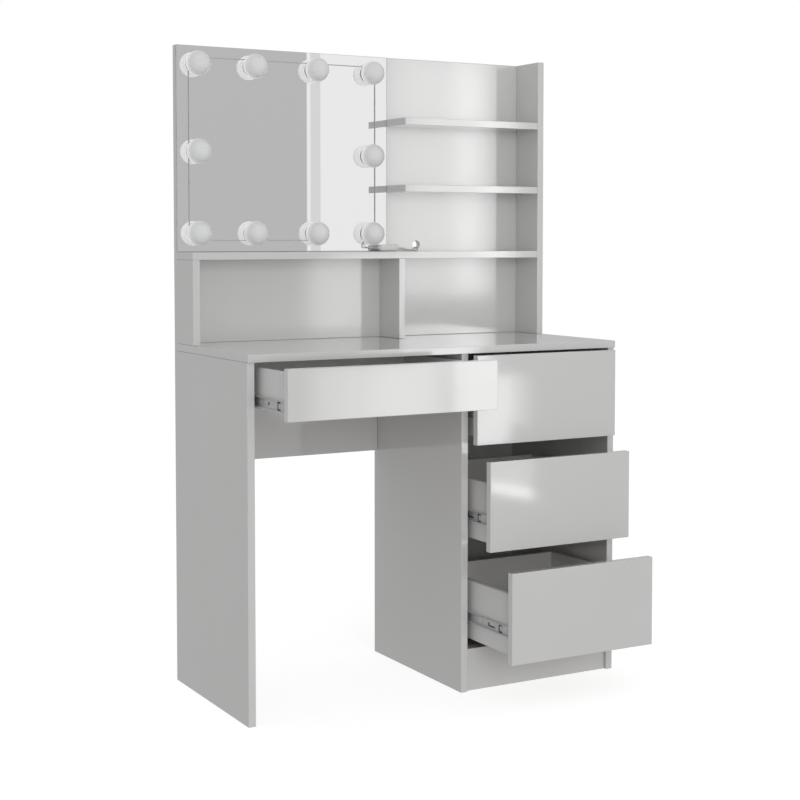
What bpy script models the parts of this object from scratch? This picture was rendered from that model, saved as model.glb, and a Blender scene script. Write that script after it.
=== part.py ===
"""Vanity table: a desk with a kneehole, a pedestal with three drawers, one wide drawer over the
kneehole, and an upper unit with a frameless mirror, ten globe lights, three shelves and a cubby.

Units are metres and +Z is up. The origin is on the floor, midway across the width and midway between
the back plane and the face of the lowest drawer, which stands open the furthest. The front is -Y.
Most places below are given as the joiner would: x to the right of the left outer face, depth forward
of the back plane, and height above the floor. Function world() turns them into scene coordinates.
"""

import math

import bmesh
import bpy
from mathutils import Vector

# The whole table
WIDTH = 0.900
HEIGHT = 1.400
TOP_DEPTH = 0.400
SIDE_DEPTH = 0.395
TABLE_HEIGHT = 0.750
BOARD = 0.016
THIN_BOARD = 0.012
HARDBOARD = 0.003
GAP = 0.0003
EDGE_ROUND = 0.0006
OVER = 0.010

# Pedestal and kneehole
PEDESTAL_LEFT = 0.498
FLOOR_TOP = 0.092
PLINTH_RECESS = 0.007
MODESTY_BOTTOM = 0.4825

# Upper unit
SHELF_FRONT = 0.110
SHELF_TOPS = {"wide_shelf": 0.950, "middle_shelf": 1.103, "top_shelf": 1.256}
MIRROR_WIDTH = 0.520
GLASS = 0.004

# Drawers
FRONT_SIDE_GAP = 0.0035
FRONT_TOP = 0.731
FRONT_HEIGHT = 0.192
FINGER_GAP = 0.029
WIDE_FRONT_HEIGHT = 0.102
BOX_LENGTH = 0.350
BOX_HEIGHT = 0.127
BOX_RAISE = 0.016
RAIL_RAISE = 0.0665
WIDE_BOX_HEIGHT = 0.0815
WIDE_BOX_RAISE = 0.0115
WIDE_RAIL_RAISE = 0.027
GROOVE_DEPTH = 0.005
GROOVE_RAISE = 0.008
OPEN_NOW = {"wide": 0.148, "top": 0.032, "middle": 0.085, "bottom": 0.170}

# Ball-bearing slides, in two members
RAIL_SPACE = 0.0127
RAIL_LENGTH = 0.350
RAIL_REAR = 0.025
RAIL_SHEET = 0.0012
CABINET_RAIL = {"height": 0.035, "depth": 0.0098}
DRAWER_RAIL = {"height": 0.022, "depth": 0.0092}

# Lights on the mirror
BULB_COLUMNS = (0.044, 0.179, 0.331, 0.473)
BULB_ROWS = (1.360, 1.170, 0.991)
BULB_RADIUS = 0.027
BULB_REACH = 0.0465
PAD_RADIUS = 0.0125
PAD_HEIGHT = 0.0029
COLLAR_RADIUS = 0.0205
COLLAR_TOP = 0.0075
WIRE_DIAMETER = 0.002
WIRE_OFFSET = 0.0155
WIRE_CORNER = 0.006
BULB_SIDES = 20
DIMMER_SIZE = (0.050, 0.020, 0.015)
DIMMER_ROUND = 0.006
DIMMER_LEFT = 0.486
DIMMER_DEPTH = 0.046

# Supply lead
LEAD_DIAMETER = 0.003
LEAD_HOLE_DIAMETER = 0.020
LEAD_HOLE = (0.602, 0.965)
LEAD_OFF_HOLE = 0.0012
ROUND_SIDES = 24
COIL_RADIUS = 0.0165
COIL_WALL = 0.0066
COIL_HEIGHT = 0.0068
COIL_CENTRE = (0.6275, -0.052)
COIL_OUTSIDE = COIL_RADIUS + COIL_WALL / 2
PLUG_BODY = (0.034, 0.0155, 0.0078)
PLUG_ROUND = 0.0015
PLUG_SHELL = (0.0150, 0.0120, 0.0045)
PLUG_SHELL_INSIDE = 0.003
PLUG_BEHIND_COIL = 0.0085

UNDERSIDE = TABLE_HEIGHT - BOARD
PEDESTAL_BAY = (PEDESTAL_LEFT + BOARD, WIDTH - BOARD)
KNEEHOLE_BAY = (BOARD, PEDESTAL_LEFT)
REST_DEPTH = SIDE_DEPTH + max(OPEN_NOW.values())
SHELF_TOP = SHELF_TOPS["wide_shelf"]
MIRROR_FACE = BOARD + GAP + GLASS

COLOURS = {
    "white_lacquer": ((0.80, 0.80, 0.79), 0.10, 0.0),
    "white_foil": ((0.72, 0.72, 0.71), 0.38, 0.0),
    "white_hardboard": ((0.70, 0.70, 0.69), 0.50, 0.0),
    "silvered_glass": ((0.90, 0.91, 0.91), 0.02, 1.0),
    "opal_plastic": ((0.88, 0.88, 0.87), 0.30, 0.0),
    "zinc_steel": ((0.56, 0.57, 0.58), 0.32, 1.0),
    "white_plastic": ((0.76, 0.76, 0.75), 0.35, 0.0),
    "white_cable": ((0.70, 0.70, 0.69), 0.45, 0.0),
}


def world(x, depth, height):
    """Scene coordinates of a place given by x, depth and height."""
    return Vector((x - WIDTH / 2, REST_DEPTH / 2 - depth, height))


def clear_scene():
    for obj in list(bpy.data.objects):
        bpy.data.objects.remove(obj)


def new_collection(name, hidden=False):
    collection = bpy.data.collections.new(name)
    collection.hide_render = hidden
    bpy.context.scene.collection.children.link(collection)
    return collection


def make_materials():
    made = {}
    for name, (colour, roughness, metallic) in COLOURS.items():
        material = bpy.data.materials.new(name)
        material.use_nodes = True
        shader = material.node_tree.nodes["Principled BSDF"]
        shader.inputs["Base Color"].default_value = (*colour, 1.0)
        shader.inputs["Roughness"].default_value = roughness
        shader.inputs["Metallic"].default_value = metallic
        made[name] = material
    return made


clear_scene()
PARTS = new_collection("vanity_table")
CUTTERS = new_collection("cutters", hidden=True)
MATERIALS = make_materials()


def add_object(name, data, place, material, parent=None):
    """Puts a mesh or a curve in the scene as a part, with its origin at place."""
    obj = bpy.data.objects.new(name, data)
    obj.location = place
    if parent:
        obj.location -= parent.location
        obj.parent = parent
    data.materials.append(MATERIALS[material])
    PARTS.objects.link(obj)
    return obj


def box_mesh(name, size):
    mesh = bpy.data.meshes.new(name)
    shape = bmesh.new()
    bmesh.ops.create_cube(shape, size=1.0)
    bmesh.ops.scale(shape, vec=size, verts=shape.verts)
    shape.to_mesh(mesh)
    shape.free()
    return mesh


def box_between(name, x, depth, z):
    """The mesh and the centre of a box between two x, two depths and two heights."""
    low = world(x[0], depth[1], z[0])
    high = world(x[1], depth[0], z[1])
    return box_mesh(name, high - low), (low + high) / 2


def board(name, x, depth, z, material="white_lacquer", parent=None):
    """A board with lightly broken edges."""
    mesh, centre = box_between(name, x, depth, z)
    obj = add_object(name, mesh, centre, material, parent)
    bevel = obj.modifiers.new("edges", "BEVEL")
    bevel.width = EDGE_ROUND
    bevel.segments = 1
    return obj


def cut(obj, tool, operation="DIFFERENCE"):
    """Takes a tool away from a part, or joins it on, and keeps the tool itself out of the parts."""
    tool.hide_render = True
    tool.display_type = "WIRE"
    CUTTERS.objects.link(tool)
    boolean = obj.modifiers.new("cut " + tool.name, "BOOLEAN")
    boolean.operation = operation
    boolean.object = tool


def box_cutter(name, x, depth, z, parent=None):
    mesh, centre = box_between(name, x, depth, z)
    cutter = bpy.data.objects.new(name, mesh)
    cutter.location = centre
    if parent:
        cutter.location -= parent.location
        cutter.parent = parent
    return cutter


def outline_object(name, outline, length, place, material, parent=None):
    """A flat outline in X and Z, drawn out along Y by length and centred on place."""
    curve = bpy.data.curves.new(name, "CURVE")
    curve.dimensions = "2D"
    curve.fill_mode = "BOTH"
    curve.extrude = length / 2
    spline = curve.splines.new("POLY")
    spline.points.add(len(outline) - 1)
    for point, (x, z) in zip(spline.points, outline):
        point.co = (x, z, 0, 1)
    spline.use_cyclic_u = True
    obj = add_object(name, curve, place, material, parent)
    obj.rotation_euler = (math.pi / 2, 0, 0)
    return obj


def tube(name, points, diameter, material):
    """A round wire or lead through a list of scene points."""
    curve = bpy.data.curves.new(name, "CURVE")
    curve.dimensions = "3D"
    curve.bevel_depth = diameter / 2
    curve.bevel_resolution = 2
    curve.use_fill_caps = True
    spline = curve.splines.new("POLY")
    spline.points.add(len(points) - 1)
    start = points[0]
    for point, place in zip(spline.points, points):
        point.co = (*(place - start), 1)
    return add_object(name, curve, start, material)


def turned(name, profile, steps, place, material, rotation=(0, 0, 0)):
    """A profile of (radius, height) points, listed from the top down, turned about Z."""
    mesh = bpy.data.meshes.new(name)
    points = [(radius, 0, height) for radius, height in profile]
    mesh.from_pydata(points, [(i, i + 1) for i in range(len(points) - 1)], [])
    obj = add_object(name, mesh, place, material)
    obj.rotation_euler = rotation
    screw = obj.modifiers.new("turn", "SCREW")
    screw.steps = steps
    screw.render_steps = steps
    screw.use_merge_vertices = True
    screw.merge_threshold = 0.00005
    screw.use_smooth_shade = True
    return obj


def through(points, steps):
    """A smooth curve through the points, with each stretch between two of them cut into steps."""
    gaps = [(b - a).length for a, b in zip(points, points[1:])]
    ways = [(b - a) / gap for a, b, gap in zip(points, points[1:], gaps)]
    turns = [
        (before * far + after * near) / (near + far)
        for before, after, near, far in zip(ways, ways[1:], gaps, gaps[1:])
    ]
    tangents = [ways[0], *turns, ways[-1]]
    curve = []
    for i, gap in enumerate(gaps):
        for step in range(steps):
            t = step / steps
            curve.append(
                points[i] * (2 * t**3 - 3 * t**2 + 1)
                + tangents[i] * gap * (t**3 - 2 * t**2 + t)
                + points[i + 1] * (3 * t**2 - 2 * t**3)
                + tangents[i + 1] * gap * (t**3 - t**2)
            )
    return [*curve, points[-1]]


# ---------------------------------------------------------------- desk


def make_desk():
    side_top = UNDERSIDE - GAP
    for name, left in (
        ("left_side_panel", 0.0),
        ("pedestal_inner_side", PEDESTAL_LEFT),
        ("pedestal_outer_side", WIDTH - BOARD),
    ):
        board(name, (left, left + BOARD), (0, SIDE_DEPTH), (0, side_top))
    board("table_top", (0, WIDTH), (0, TOP_DEPTH), (UNDERSIDE, TABLE_HEIGHT))
    board(
        "modesty_panel",
        (KNEEHOLE_BAY[0] + GAP, KNEEHOLE_BAY[1] - GAP),
        (0, BOARD),
        (MODESTY_BOTTOM, side_top),
    )
    bay = (PEDESTAL_BAY[0] + GAP, PEDESTAL_BAY[1] - GAP)
    plinth_front = SIDE_DEPTH - PLINTH_RECESS
    plinth_back = plinth_front - BOARD
    board("pedestal_plinth", bay, (plinth_back, plinth_front), (0, FLOOR_TOP))
    board(
        "pedestal_floor",
        bay,
        (HARDBOARD + GAP, plinth_back - GAP),
        (FLOOR_TOP - BOARD, FLOOR_TOP),
    )
    board("pedestal_back", bay, (0, HARDBOARD), (0, side_top), "white_hardboard")


# ---------------------------------------------------------------- upper unit


def make_upper_unit():
    foot = TABLE_HEIGHT + GAP
    rear = BOARD + GAP
    panel = board("upper_back_panel", (0, WIDTH), (0, BOARD), (foot, HEIGHT))
    drill = bpy.data.meshes.new("lead_hole")
    shape = bmesh.new()
    bmesh.ops.create_cone(
        shape,
        cap_ends=True,
        segments=ROUND_SIDES,
        radius1=LEAD_HOLE_DIAMETER / 2,
        radius2=LEAD_HOLE_DIAMETER / 2,
        depth=3 * BOARD,
    )
    shape.to_mesh(drill)
    shape.free()
    cutter = bpy.data.objects.new("lead_hole", drill)
    cutter.location = world(LEAD_HOLE[0], BOARD / 2, LEAD_HOLE[1])
    cutter.rotation_euler = (math.pi / 2, 0, 0)
    cut(panel, cutter)

    under_shelf = (foot, SHELF_TOP - BOARD - GAP)
    board("upper_left_side", (0, BOARD), (rear, SHELF_FRONT), under_shelf)
    board("cubby_divider", (MIRROR_WIDTH - BOARD, MIRROR_WIDTH), (rear, SHELF_FRONT), under_shelf)
    board("upper_right_side", (WIDTH - BOARD, WIDTH), (rear, SHELF_FRONT), (foot, HEIGHT))
    for name, top in SHELF_TOPS.items():
        left = 0.0 if name == "wide_shelf" else MIRROR_WIDTH
        board(name, (left, PEDESTAL_BAY[1] - GAP), (rear, SHELF_FRONT), (top - BOARD, top))
    board(
        "mirror_glass",
        (0, MIRROR_WIDTH - GAP),
        (rear, MIRROR_FACE),
        (SHELF_TOP + GAP, HEIGHT),
        "silvered_glass",
    )


# ---------------------------------------------------------------- drawers


def channel(name, web_x, opens, centre_z, rear, size, parent=None):
    """A rail member: a channel whose web stands at web_x and whose flanges reach towards opens."""
    half = size["height"] / 2
    deep = size["depth"] * opens
    sheet = RAIL_SHEET * opens
    outline = [
        (0, -half),
        (deep, -half),
        (deep, RAIL_SHEET - half),
        (sheet, RAIL_SHEET - half),
        (sheet, half - RAIL_SHEET),
        (deep, half - RAIL_SHEET),
        (deep, half),
        (0, half),
    ]
    place = world(web_x, rear + RAIL_LENGTH / 2, centre_z)
    return outline_object(name, outline, RAIL_LENGTH, place, "zinc_steel", parent)


def make_drawer(name, bay, front_z, box_z, rail_z):
    """A drawer in the bay, drawn out by OPEN_NOW, with its box, its bottom and its two slides."""
    open_now = OPEN_NOW[name]
    slide = bpy.data.objects.new(name + "_drawer_slide", None)
    slide.location = world((bay[0] + bay[1]) / 2, SIDE_DEPTH + open_now, rail_z)
    PARTS.objects.link(slide)

    face = SIDE_DEPTH + open_now
    front_x = (bay[0] + FRONT_SIDE_GAP, bay[1] - FRONT_SIDE_GAP)
    board(name + "_drawer_front", front_x, (face - BOARD, face), front_z, parent=slide)

    outer = (bay[0] + RAIL_SPACE, bay[1] - RAIL_SPACE)
    inner = (outer[0] + THIN_BOARD, outer[1] - THIN_BOARD)
    box_front = face - BOARD - GAP
    box_rear = box_front - BOX_LENGTH
    mesh, centre = box_between(name + "_drawer_box", outer, (box_rear, box_front), box_z)
    box = add_object(name + "_drawer_box", mesh, centre, "white_foil", slide)
    groove = box_z[0] + GROOVE_RAISE
    hollow = ((box_rear + THIN_BOARD, box_front + OVER), (box_z[0] - OVER, box_z[1] + OVER))
    cut(box, box_cutter(name + "_hollow", inner, *hollow, parent=slide))
    slot_x = (inner[0] - GROOVE_DEPTH - GAP, inner[1] + GROOVE_DEPTH + GAP)
    slot_z = (groove - GAP, groove + HARDBOARD + GAP)
    run = (box_rear - OVER, box_front + OVER)
    cut(box, box_cutter(name + "_groove", slot_x, run, slot_z, slide))
    below = (box_z[0] - OVER, groove + GAP)
    cut(box, box_cutter(name + "_under_back", inner, run, below, slide))
    board(
        name + "_drawer_bottom",
        (inner[0] - GROOVE_DEPTH, inner[1] + GROOVE_DEPTH),
        (box_rear, box_front - GAP),
        (groove, groove + HARDBOARD),
        "white_hardboard",
        slide,
    )

    for side, wall, box_side, opens in (
        ("left", bay[0], outer[0], 1),
        ("right", bay[1], outer[1], -1),
    ):
        channel(
            f"{name}_cabinet_rail_{side}", wall + GAP * opens, opens, rail_z, RAIL_REAR, CABINET_RAIL
        )
        channel(
            f"{name}_drawer_rail_{side}",
            box_side - GAP * opens,
            -opens,
            rail_z,
            box_rear,
            DRAWER_RAIL,
            slide,
        )


def make_drawers():
    for index, name in enumerate(("top", "middle", "bottom")):
        top = FRONT_TOP - index * (FRONT_HEIGHT + FINGER_GAP)
        bottom = top - FRONT_HEIGHT
        box_bottom = bottom + BOX_RAISE
        make_drawer(
            name,
            PEDESTAL_BAY,
            (bottom, top),
            (box_bottom, box_bottom + BOX_HEIGHT),
            bottom + RAIL_RAISE,
        )
    bottom = FRONT_TOP - WIDE_FRONT_HEIGHT
    box_bottom = bottom + WIDE_BOX_RAISE
    make_drawer(
        "wide",
        KNEEHOLE_BAY,
        (bottom, FRONT_TOP),
        (box_bottom, box_bottom + WIDE_BOX_HEIGHT),
        bottom + WIDE_RAIL_RAISE,
    )


# ---------------------------------------------------------------- lights


def bulb_profile():
    """Half the outline of a globe light from its tip to its pad. The wire passes beside the pad."""
    centre = BULB_REACH - BULB_RADIUS
    lowest = math.asin((COLLAR_TOP - centre) / BULB_RADIUS)
    arc = 7
    angles = [math.pi / 2 + (lowest - math.pi / 2) * i / arc for i in range(arc + 1)]
    globe = [(BULB_RADIUS * math.cos(a), centre + BULB_RADIUS * math.sin(a)) for a in angles]
    globe[0] = (0.0, BULB_REACH)
    return [
        *globe,
        (COLLAR_RADIUS, COLLAR_TOP),
        (COLLAR_RADIUS, PAD_HEIGHT),
        (PAD_RADIUS, PAD_HEIGHT),
        (PAD_RADIUS, 0.0),
        (0.0, 0.0),
    ]


def make_bulbs():
    """Four lights along the top, four along the bottom, and one halfway down each side."""
    middle = BULB_ROWS[1]
    for row, height in zip(("top", "middle", "bottom"), BULB_ROWS):
        columns = BULB_COLUMNS[:: len(BULB_COLUMNS) - 1] if height == middle else BULB_COLUMNS
        for number, x in enumerate(columns, 1):
            turned(
                f"{row}_bulb_{number}",
                bulb_profile(),
                BULB_SIDES,
                world(x, MIRROR_FACE + GAP, height),
                "opal_plastic",
                (math.pi / 2, 0, 0),
            )


def rounded_corner(corner, before, after, radius):
    """Points of a quarter turn at a corner, from the side of before to the side of after."""
    back = (before - corner).normalized() * radius
    on = (after - corner).normalized() * radius
    centre = corner + back + on
    steps = 4
    turn = [i * math.pi / 2 / steps for i in range(steps + 1)]
    return [centre - on * math.cos(t) - back * math.sin(t) for t in turn]


def make_light_wire():
    """The wire that strings the lights together, clockwise from the bottom row, down to the dimmer."""
    depth = MIRROR_FACE + GAP + WIRE_DIAMETER / 2
    left = BULB_COLUMNS[0] - WIRE_OFFSET
    right = BULB_COLUMNS[-1] + WIRE_OFFSET
    low = BULB_ROWS[-1] - WIRE_OFFSET
    high = BULB_ROWS[0] + WIRE_OFFSET
    start = world(BULB_COLUMNS[2], depth, low)
    corners = [
        start,
        world(left, depth, low),
        world(left, depth, high),
        world(right, depth, high),
        world(right, depth, low),
        world(BULB_COLUMNS[-1], depth, low),
    ]
    path = [start]
    for before, corner, after in zip(corners, corners[1:], corners[2:]):
        path += rounded_corner(corner, before, after, WIRE_CORNER)
    entry = SHELF_TOP + GAP + DIMMER_SIZE[2] / 2
    last = BULB_COLUMNS[-1]
    tail = [
        world(last, depth, low),
        world(last - 0.009, depth, low - 0.0012),
        world(last - 0.0155, depth + 0.0005, low - 0.0065),
        world(last - 0.0155, depth + 0.0045, low - 0.0130),
        world(last - 0.0095, depth + 0.0135, entry + 0.0008),
        world(last - 0.0010, DIMMER_DEPTH - 0.0022, entry),
        world(DIMMER_LEFT - GAP, DIMMER_DEPTH, entry),
    ]
    tube("light_wire", path + through(tail, 4), WIRE_DIAMETER, "white_cable")


def rounded_block(name, size, place, material, radius):
    """A block with round edges."""
    obj = add_object(name, box_mesh(name, size), place, material)
    bevel = obj.modifiers.new("round", "BEVEL")
    bevel.width = radius
    bevel.segments = 3
    return obj


def make_dimmer():
    place = world(DIMMER_LEFT + DIMMER_SIZE[0] / 2, DIMMER_DEPTH, SHELF_TOP + GAP + DIMMER_SIZE[2] / 2)
    rounded_block("dimmer", DIMMER_SIZE, place, "white_plastic", DIMMER_ROUND)


def lead_route():
    """The supply lead's own points: dimmer, hole in the back panel, straight down, floor, coil."""
    on_shelf = SHELF_TOP + GAP + LEAD_DIAMETER / 2
    in_hole = LEAD_HOLE[1] - LEAD_HOLE_DIAMETER / 2 + LEAD_DIAMETER / 2 + LEAD_OFF_HOLE
    on_floor = GAP + LEAD_DIAMETER / 2
    exit_x = DIMMER_LEFT + DIMMER_SIZE[0] + GAP
    exit_z = SHELF_TOP + GAP + DIMMER_SIZE[2] / 2
    hole_x = LEAD_HOLE[0]
    end_x = COIL_CENTRE[0] - COIL_OUTSIDE + LEAD_DIAMETER / 2
    reach = math.sqrt(COIL_OUTSIDE**2 - (COIL_OUTSIDE - LEAD_DIAMETER) ** 2)
    end_depth = COIL_CENTRE[1] + reach + GAP
    places = [
        (exit_x, DIMMER_DEPTH, exit_z),
        (exit_x + 0.010, DIMMER_DEPTH, exit_z - 0.0006),
        (exit_x + 0.025, DIMMER_DEPTH - 0.001, on_shelf + 0.0018),
        (exit_x + 0.041, DIMMER_DEPTH - 0.006, on_shelf + 0.0004),
        (hole_x - 0.009, 0.036, on_shelf + 0.0003),
        (hole_x - 0.002, 0.027, on_shelf + 0.0030),
        (hole_x, 0.018, in_hole),
        (hole_x, 0.008, in_hole + 0.0002),
        (hole_x, -0.0010, in_hole - 0.0002),
        (hole_x, -0.0070, in_hole - 0.0038),
        (hole_x, -0.0098, in_hole - 0.0130),
        (hole_x + 0.001, -0.0102, 0.900),
        (hole_x + 0.003, -0.0110, 0.750),
        (hole_x + 0.004, -0.0115, 0.560),
        (hole_x + 0.002, -0.0115, 0.380),
        (hole_x + 0.000, -0.0115, 0.200),
        (hole_x - 0.001, -0.0115, 0.070),
        (hole_x - 0.001, -0.0120, 0.026),
        (hole_x + 0.0005, -0.0150, 0.0085),
        (end_x - 0.0035, -0.0220, on_floor + 0.0006),
        (end_x - 0.0008, -0.0320, on_floor),
        (end_x, end_depth, on_floor),
    ]
    return [world(*place) for place in places]


def coil_profile():
    """The section of the coiled lead's outer shape, from its top round to its top."""
    inside = COIL_RADIUS - COIL_WALL / 2
    round_off = LEAD_DIAMETER / 2
    return [
        (COIL_OUTSIDE - round_off, COIL_HEIGHT),
        (COIL_OUTSIDE, COIL_HEIGHT - round_off),
        (COIL_OUTSIDE, round_off),
        (COIL_OUTSIDE - round_off, 0),
        (inside + round_off, 0),
        (inside, round_off),
        (inside, COIL_HEIGHT - round_off),
        (inside + round_off, COIL_HEIGHT),
        (COIL_OUTSIDE - round_off, COIL_HEIGHT),
    ]


def make_lead():
    tube("usb_lead", through(lead_route(), 4), LEAD_DIAMETER, "white_cable")
    coil_place = world(*COIL_CENTRE, GAP)
    turned("usb_lead_coil", coil_profile(), ROUND_SIDES, coil_place, "white_cable")


def make_plug():
    """A flat rectangular plug that lies beside the coil, with its metal shell pointing away."""
    long, wide, thick = PLUG_BODY
    tail = COIL_CENTRE[0] + COIL_OUTSIDE + GAP
    depth = COIL_CENTRE[1] - PLUG_BEHIND_COIL
    place = world(tail + long / 2, depth, GAP + thick / 2)
    plug = rounded_block("usb_plug", PLUG_BODY, place, "white_plastic", PLUG_ROUND)
    shell_x = (tail + long - PLUG_SHELL_INSIDE, tail + long + PLUG_SHELL[0])
    shell_depth = (depth - PLUG_SHELL[1] / 2, depth + PLUG_SHELL[1] / 2)
    middle = GAP + thick / 2
    shell_z = (middle - PLUG_SHELL[2] / 2, middle + PLUG_SHELL[2] / 2)
    shell = box_cutter("usb_plug_shell", shell_x, shell_depth, shell_z)
    cut(plug, shell, "UNION")


make_desk()
make_upper_unit()
make_drawers()
make_bulbs()
make_light_wire()
make_dimmer()
make_lead()
make_plug()
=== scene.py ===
"""The looks of the vanity table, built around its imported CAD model.

Units are metres and +Z is up. Places on the table are given as the joiner would: x to the right of the
left outer face, depth forward of the back plane, and height above the floor. Function at() turns them
into scene coordinates, and most sizes are read from the boxes of the CAD nodes.
"""

import math

import bmesh
import bpy
from mathutils import Matrix, Vector


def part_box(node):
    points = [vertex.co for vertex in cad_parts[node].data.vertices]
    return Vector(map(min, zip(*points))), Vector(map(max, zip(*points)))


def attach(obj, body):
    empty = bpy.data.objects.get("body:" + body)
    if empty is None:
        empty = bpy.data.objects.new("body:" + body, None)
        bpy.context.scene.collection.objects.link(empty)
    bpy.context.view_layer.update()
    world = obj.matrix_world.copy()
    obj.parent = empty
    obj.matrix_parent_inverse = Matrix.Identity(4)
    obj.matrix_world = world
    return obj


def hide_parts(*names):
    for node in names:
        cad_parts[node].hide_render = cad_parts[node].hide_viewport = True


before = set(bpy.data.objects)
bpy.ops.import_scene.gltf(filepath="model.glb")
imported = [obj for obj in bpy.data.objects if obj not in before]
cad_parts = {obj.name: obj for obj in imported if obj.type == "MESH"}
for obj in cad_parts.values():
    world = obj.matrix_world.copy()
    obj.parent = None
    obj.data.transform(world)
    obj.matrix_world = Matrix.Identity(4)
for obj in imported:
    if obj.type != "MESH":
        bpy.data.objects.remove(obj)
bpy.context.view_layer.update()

# ---------------------------------------------------------------- sizes

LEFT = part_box("table_top")[0].x
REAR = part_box("upper_back_panel")[1].y
GAP = 0.0003

# Boards
BOARD = 0.016
BAND = 0.0012
EDGE = 0.0007
SEAM_WIDTH = 0.00010
SEAM_DEPTH = 0.00012
THIN = 0.012
HARDBOARD = 0.003

# Slides, across from the cabinet wall to the drawer side
RAIL_SHEET = 0.0012
BALL = 0.0052
SLIDE_SPACE = 0.0127

# Lights
MIRROR_FACE = 0.0203
BULB_RADIUS = 0.027
BULB_REACH = 0.0465
COLLAR_RADIUS = 0.0205
COLLAR_TOP = 0.0075
PAD_RADIUS = 0.0125
PAD_HEIGHT = 0.0029
WIRE_DIAMETER = 0.002
WIRE_OFFSET = 0.0155
WIRE_CORNER = 0.006
BULB_COLUMNS = (0.044, 0.179, 0.331, 0.473)
BULB_ROWS = (1.360, 1.170, 0.991)

# Supply lead
SHELF_TOP = 0.950
DIMMER_SIZE = (0.050, 0.020, 0.015)
DIMMER_LEFT = 0.486
DIMMER_DEPTH = 0.046
LEAD_DIAMETER = 0.003
LEAD_HOLE = (0.602, 0.965)
LEAD_HOLE_DIAMETER = 0.020
LEAD_OFF_HOLE = 0.0012
COIL_CENTRE = (0.6275, -0.052)
COIL_OUTSIDE = 0.0198
COIL_INSIDE = 0.0132
PLUG_BODY = (0.034, 0.0155, 0.0078)
PLUG_SHELL = (0.0150, 0.0120, 0.0045)
PLUG_BEHIND_COIL = 0.0085

DRAWERS = ("top", "middle", "bottom", "wide")


def at(x, depth, height):
    """Scene coordinates of a place given by x, depth and height."""
    return Vector((LEFT + x, REAR - depth, height))


# ---------------------------------------------------------------- camera


def make_camera():
    """The view at eye height, from the left, with the little downward shift that keeps uprights upright."""
    data = bpy.data.cameras.new("camera")
    data.lens = 70.60
    data.shift_y = -0.10
    camera = bpy.data.objects.new("camera", data)
    camera.location = (-1.6936, -2.9652, 0.9809)
    turn, down = math.radians(29.142), math.radians(2.994)
    camera.rotation_euler = (math.pi / 2 - down, 0, -turn)
    bpy.context.scene.collection.objects.link(camera)
    bpy.context.scene.camera = camera


make_camera()

# ---------------------------------------------------------------- node helpers


def linked(tree, kind, settings=None, **inputs):
    """A shader node, with settings on the node and values or links on its inputs."""
    made = tree.nodes.new(kind)
    for name, value in (settings or {}).items():
        setattr(made, name, value)
    for name, value in inputs.items():
        socket = made.inputs[name.replace("_", " ")]
        if isinstance(value, bpy.types.NodeSocket):
            tree.links.new(value, socket)
        else:
            socket.default_value = value
    return made


def object_place(tree, stretch=(1, 1, 1)):
    """The object's own coordinates, stretched along each axis."""
    place = tree.nodes.new("ShaderNodeTexCoord").outputs["Object"]
    return linked(tree, "ShaderNodeMapping", Vector=place, Scale=stretch).outputs["Vector"]


def noise(tree, scale, detail=2.0, roughness=0.5, stretch=(1, 1, 1)):
    vector = object_place(tree, stretch)
    made = linked(
        tree, "ShaderNodeTexNoise", Vector=vector, Scale=scale, Detail=detail, Roughness=roughness
    )
    return made.outputs["Fac"]


def spread(tree, value, low, high):
    """A noise value carried from the middle of its range to low and high."""
    made = linked(tree, "ShaderNodeMapRange", {"clamp": True}, Value=value)
    made.inputs["From Min"].default_value = 0.30
    made.inputs["From Max"].default_value = 0.70
    made.inputs["To Min"].default_value = low
    made.inputs["To Max"].default_value = high
    return made.outputs["Result"]


def between(tree, factor, first, second):
    """A colour that moves from first to second with the factor."""
    mix = tree.nodes.new("ShaderNodeMix")
    mix.data_type = "RGBA"
    tree.links.new(factor, mix.inputs["Factor"])
    for socket, value in ((mix.inputs[6], first), (mix.inputs[7], second)):
        if isinstance(value, bpy.types.NodeSocket):
            tree.links.new(value, socket)
        else:
            socket.default_value = (*value, 1)
    return mix.outputs[2]


def bumped(tree, height, distance, strength=1.0, under=None):
    made = linked(
        tree, "ShaderNodeBump", Height=height, Distance=distance, Strength=strength
    )
    if under:
        tree.links.new(under, made.inputs["Normal"])
    return made.outputs["Normal"]


def finish_of(name, colour, roughness, **inputs):
    """A material with its Principled shader's uniform values set, and its node tree and shader."""
    made = bpy.data.materials.new(name)
    made.use_nodes = True
    shader = made.node_tree.nodes["Principled BSDF"]
    shader.inputs["Base Color"].default_value = (*colour, 1)
    shader.inputs["Roughness"].default_value = roughness
    for key, value in inputs.items():
        shader.inputs[key.replace("_", " ")].default_value = value
    return made, made.node_tree, shader


def wire_up(tree, shader, colour=None, roughness=None, normal=None):
    for socket, value in (("Base Color", colour), ("Roughness", roughness), ("Normal", normal)):
        if value is not None:
            tree.links.new(value, shader.inputs[socket])


# ---------------------------------------------------------------- materials


def make_lacquer(name="lacquer", light=(0.690, 0.687, 0.682), dark=(0.672, 0.669, 0.663)):
    """Gloss lacquer over chipboard: a clear coat, faint orange peel, and the board telegraphing through."""
    made, tree, shader = finish_of(
        name, light, 0.12, IOR=1.7, Coat_Weight=1.0, Coat_Roughness=0.09, Coat_IOR=1.9
    )
    cloud = noise(tree, 5.0, 3.0)
    peel = noise(tree, 160.0, 1.0)
    board = noise(tree, 14.0, 2.0)
    normal = bumped(tree, board, 0.00008)
    normal = bumped(tree, peel, 0.000006, under=normal)
    wire_up(
        tree,
        shader,
        colour=between(tree, spread(tree, cloud, 0, 1), light, dark),
        roughness=spread(tree, noise(tree, 22.0, 4.0), 0.10, 0.15),
        normal=normal,
    )
    tree.links.new(normal, shader.inputs["Coat Normal"])
    return made


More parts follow.
